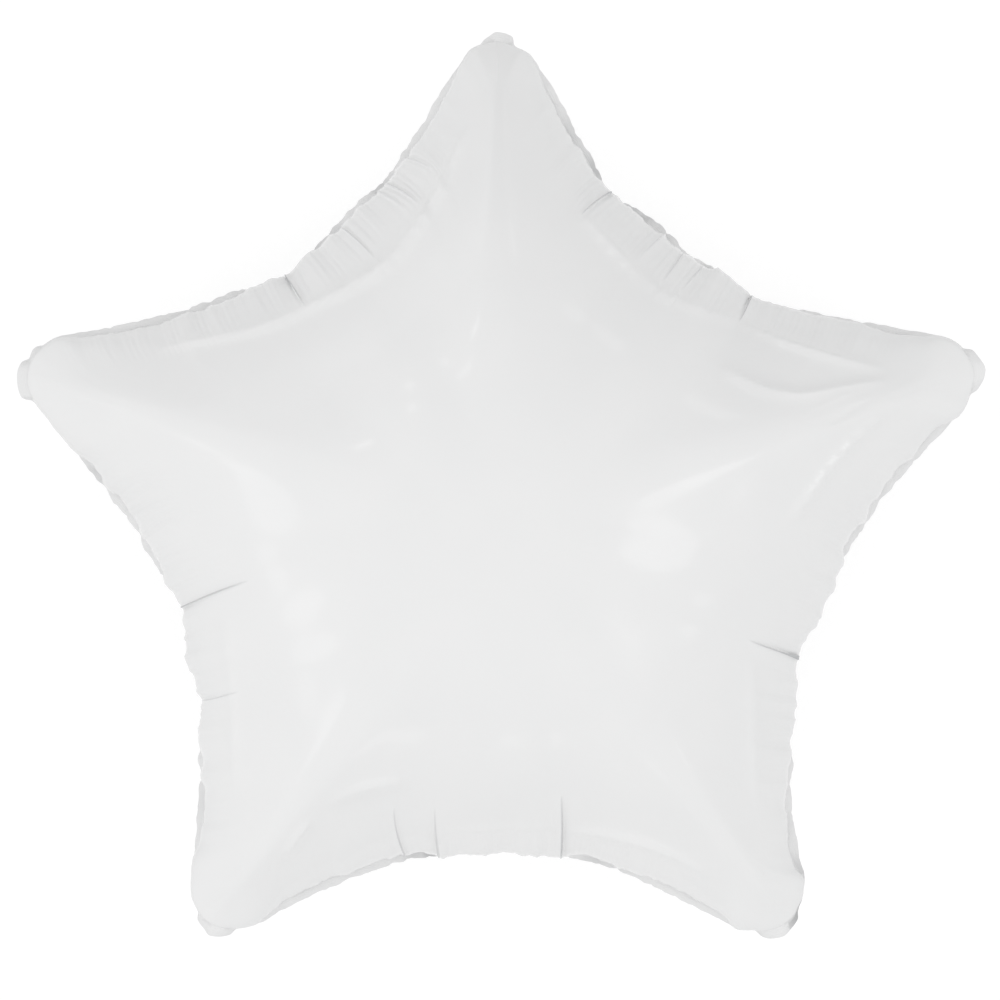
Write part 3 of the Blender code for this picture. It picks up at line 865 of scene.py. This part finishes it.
finish = {
    "white": (0.800, 0.800, 0.800),
    "whiteCloud": (0.775, 0.778, 0.780),     # where the ink lies a little thinner
    "creaseInkAndShadeGrey": (0.36, 0.37, 0.38),        # cracked ink along a fold, and painted shade inside the fold
    # the welded margin's own slightly greyer tone, darkened further as painted shade where it leans back
    # beside the film's wall
    "marginGreyAndShade": (0.74, 0.742, 0.745),
    # the margin's foil side, and painted shade where the margin folds back
    "silverAndShade": (0.36, 0.365, 0.37),
    "roughness": (0.30, 0.34),               # film and margin, where their clouds can't be read
    "filmClouds": (0.29, 0.35),              # roughness, from clear to cloudy
    "marginClouds": (0.30, 0.42),
    "coat": 0.4,                             # the film's clear top layer
    "coatRoughness": 0.09,
    "cockleHeight": 0.00030,
    "gatherHeight": 0.00016,                 # ribs of the gathers, which run in from the seam
    "gatherPitch": 0.0031,
    "gatherWander": 16.0,                    # how far they stray, in radians of their wave
    "wanderScale": (70.0, 12.0, 0.0),
    "patchScale": (110.0, 40.0, 0.0),        # patches where they come and go
    "ribPitch": 0.0011,                      # ribs that the heat seal pressed into the margin
    "ribShare": 0.12,
    "marginCockles": 90.0,
    "silverMetal": 0.8,
}


def whiteFilmMaterial():
    material, shader = principled("whiteFilm", finish["white"], finish["roughness"][0])
    tree = material.node_tree
    uneven = addNode(tree, "ShaderNodeGroup", {"node_tree": filmUnevenness}).outputs
    ink = mixColours(tree, uneven["Cloud"], finish["white"], finish["whiteCloud"])
    # painted shade: the fold mark turns the base colour grey along each sharp crease, partly for cracked
    # ink and partly for the shade inside the fold
    colour = mixColours(tree, readMark(tree, "fold"), ink, finish["creaseInkAndShadeGrey"])
    tree.links.new(colour, shader.inputs["Base Color"])
    roughness = remap(tree, uneven["Cloud"], 0.3, 0.7, *finish["filmClouds"])
    tree.links.new(roughness, shader.inputs["Roughness"])
    cockles = bumpFrom(tree, uneven["Height"], finish["cockleHeight"])
    # gathers: sin(2 pi along / pitch + wander), only where the mark says so and in patches
    place, parts = seamMap(tree)
    wander = noise(tree, scaled(tree, place, finish["wanderScale"]), 1.0, 2.0)
    turns = calculate(tree, "MULTIPLY", parts["X"], 2 * math.pi / finish["gatherPitch"])
    turns = calculate(tree, "MULTIPLY_ADD", wander, finish["gatherWander"], turns)
    patches = noise(tree, scaled(tree, place, finish["patchScale"], (3.0, 1.0, 0.0)), 1.0, 1.0)
    strength = remap(tree, patches, 0.35, 0.65, 0.15, 1.0)
    strength = calculate(tree, "MULTIPLY", strength, readMark(tree, "gather"))
    ribs = calculate(tree, "MULTIPLY", calculate(tree, "SINE", turns), strength)
    tree.links.new(bumpFrom(tree, ribs, finish["gatherHeight"], cockles), shader.inputs["Normal"])
    shader.inputs["Coat Weight"].default_value = finish["coat"]
    shader.inputs["Coat Roughness"].default_value = finish["coatRoughness"]
    return material


def weldedMarginMaterial():
    material, shader = principled("weldedMargin", finish["marginGreyAndShade"], finish["roughness"][1])
    tree = material.node_tree
    uneven = addNode(
        tree, "ShaderNodeGroup", {"node_tree": filmUnevenness}, {"Cockle Scale": finish["marginCockles"]}
    ).outputs
    # painted shade: along the silver mark the margin turns a dark metallic grey, partly for its foil side
    # and partly for the shade where it folds back
    silverAndShade = readMark(tree, "silverAndShade")
    # painted shade: the margin's colour wanders between white and a darker grey, partly the weld's own grey
    # and partly shade where it leans back
    ink = mixColours(tree, uneven["Cloud"], finish["white"], finish["marginGreyAndShade"])
    tree.links.new(mixColours(tree, silverAndShade, ink, finish["silverAndShade"]), shader.inputs["Base Color"])
    metal = calculate(tree, "MULTIPLY", silverAndShade, finish["silverMetal"])
    tree.links.new(metal, shader.inputs["Metallic"])
    roughness = remap(tree, uneven["Cloud"], 0.3, 0.7, *finish["marginClouds"])
    tree.links.new(roughness, shader.inputs["Roughness"])
    depth = seamMap(tree)[1]["Y"]
    turns = calculate(tree, "MULTIPLY", depth, 2 * math.pi / finish["ribPitch"])
    ribs = calculate(tree, "SINE", turns)
    height = calculate(tree, "MULTIPLY_ADD", ribs, finish["ribShare"], uneven["Height"])
    tree.links.new(bumpFrom(tree, height, finish["cockleHeight"]), shader.inputs["Normal"])
    return material


def addPiece(name, mesh, materials):
    piece = bpy.data.objects.new(name, mesh)
    for material in materials:
        mesh.materials.append(material)
    scene.collection.objects.link(piece)
    return piece


mesh = balloonMesh(balloon)
envelope = addPiece("balloonEnvelope", mesh, [whiteFilmMaterial(), weldedMarginMaterial()])
mesh.shade_smooth()
mesh.set_sharp_from_angle(angle=math.radians(60))
triangles = sum(len(face.vertices) - 2 for face in mesh.polygons)
print("envelope:", len(mesh.vertices), "points,", triangles, "triangles")

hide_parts("balloon")
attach(envelope, "root")

studio = {
    "floorSize": 14.0,
    "floorBounce": 0.80,             # the floor's colour for light that bounces off it
    "floorSeen": 0.25,               # and where it is seen, over its white glow
    "floorGlow": 0.80,
    "cameraHeight": 2.47,
    "cameraAt": (0.00093, 0.0121),   # the photo's middle, from the star's centre
    "frameWidth": 0.4663,            # the photo's width at the level of the seam
    "dome": 0.723,                   # the room's light at the horizon
    "domeTop": 0.42,                 # more towards the ceiling
    "domeRight": -0.07,              # and towards the right
    "domeBack": -0.069,              # and beyond the top point
    "domeSides": 0.26,               # and to the left and right alike
    "domeEnds": -0.19,               # and to the top and bottom alike
    "gapDirection": (0.02, 0.88, 0.47),   # a dark gap between the lamps beyond the top point
    "gapStrength": -0.44,
    "gapEdges": (0.88, 0.99),        # cosine of the angle from its middle where it starts, and is full
    "lampDistance": 2.2,
}


def addFloor():
    s = studio["floorSize"] / 2
    floorMesh = bpy.data.meshes.new("floor")
    floorMesh.from_pydata([(-s, -s, 0), (s, -s, 0), (s, s, 0), (-s, s, 0)], [], [(0, 1, 2, 3)])
    material, shader = principled("floorWhite", (0.8, 0.8, 0.8), 0.9)
    tree = material.node_tree
    paths = tree.nodes.new("ShaderNodeLightPath").outputs
    seen = paths["Is Camera Ray"]
    for name in ("Is Glossy Ray", "Is Transmission Ray"):
        seen = calculate(tree, "MAXIMUM", seen, paths[name])
    colour = mixColours(tree, seen, (studio["floorBounce"],) * 3, (studio["floorSeen"],) * 3)
    tree.links.new(colour, shader.inputs["Base Color"])
    glow = calculate(tree, "MULTIPLY", seen, studio["floorGlow"])
    shader.inputs["Emission Color"].default_value = (1, 1, 1, 1)
    shader.inputs["Specular IOR Level"].default_value = 0.0
    tree.links.new(glow, shader.inputs["Emission Strength"])
    addPiece("floor", floorMesh, [material])


def addRoomLight():
    # level = dome + top z + right x + back y + sides x^2 + ends y^2, less a soft round gap
    world = bpy.data.worlds.new("studioWorld")
    scene.world = world
    world.use_nodes = True
    tree = world.node_tree
    direction = addNode(tree, "ShaderNodeTexCoord").outputs["Generated"]
    axes = addNode(tree, "ShaderNodeSeparateXYZ", inputs={0: direction}).outputs
    level = studio["dome"]
    for axis, key in (("Z", "domeTop"), ("X", "domeRight"), ("Y", "domeBack")):
        level = calculate(tree, "MULTIPLY_ADD", axes[axis], studio[key], level)
    for axis, key in (("X", "domeSides"), ("Y", "domeEnds")):
        square = calculate(tree, "POWER", axes[axis], 2.0)
        level = calculate(tree, "MULTIPLY_ADD", square, studio[key], level)
    inputs = {0: direction, 1: studio["gapDirection"]}
    towards = addNode(tree, "ShaderNodeVectorMath", {"operation": "DOT_PRODUCT"}, inputs).outputs["Value"]
    start, full = studio["gapEdges"]
    gap = addNode(
        tree, "ShaderNodeMapRange", {"interpolation_type": "SMOOTHSTEP"},
        {0: towards, 1: start, 2: full, 3: 0.0, 4: studio["gapStrength"]},
    ).outputs[0]
    level = calculate(tree, "ADD", level, gap)
    tree.links.new(level, tree.nodes["Background"].inputs["Strength"])
    tree.nodes["Background"].inputs["Color"].default_value = (1, 1, 1, 1)


# Small soft lamps, for the highlights: direction from the balloon, size, power in watts
lamps = {
    "upperTwin": ((-0.32, 0.51, 0.80), (0.08, 0.07), 0.07),
    "upperTwinBelow": ((-0.31, 0.42, 0.85), (0.08, 0.07), 0.07),
    "rightSoftbox": ((0.57, -0.10, 0.81), (0.32, 0.80), 1.30),
    "leftSoftbox": ((-0.71, -0.28, 0.64), (0.26, 0.50), 0.50),
    "rightSmall": ((0.73, -0.31, 0.61), (0.14, 0.22), 0.12),
    "rightUpper": ((0.41, 0.66, 0.62), (0.22, 0.14), 0.12),
    "leftUpper": ((-0.45, 0.70, 0.56), (0.80, 0.45), 0.34),
    "lowerLeft": ((0.05, -0.79, 0.61), (0.18, 0.18), 0.10),
    "farLeft": ((-0.80, -0.19, 0.57), (0.18, 0.24), 0.14),
}


def addLamp(name, direction, size, power):
    lamp = bpy.data.lights.new(name, "AREA")
    lamp.shape = "ELLIPSE"
    lamp.size, lamp.size_y = size
    lamp.energy = power
    holder = bpy.data.objects.new(name, lamp)
    away = Vector(direction).normalized()
    holder.location = away * studio["lampDistance"] + Vector((0, 0, balloon["thickness"] / 2))
    holder.rotation_euler = away.to_track_quat("Z", "Y").to_euler()
    scene.collection.objects.link(holder)


def addCamera():
    camera = bpy.data.cameras.new("camera")
    distance = studio["cameraHeight"] - balloon["thickness"] / 2
    camera.sensor_width = 36.0
    camera.lens = camera.sensor_width * distance / studio["frameWidth"]
    camera.clip_end = 50.0
    holder = bpy.data.objects.new("camera", camera)
    holder.location = (*studio["cameraAt"], studio["cameraHeight"])
    scene.collection.objects.link(holder)
    scene.camera = holder


addFloor()
addRoomLight()
for name, (direction, size, power) in lamps.items():
    addLamp(name, direction, size, power)
addCamera()
scene.view_settings.view_transform = "Standard"
print("stage set, %.1f s" % (time.time() - startTime))
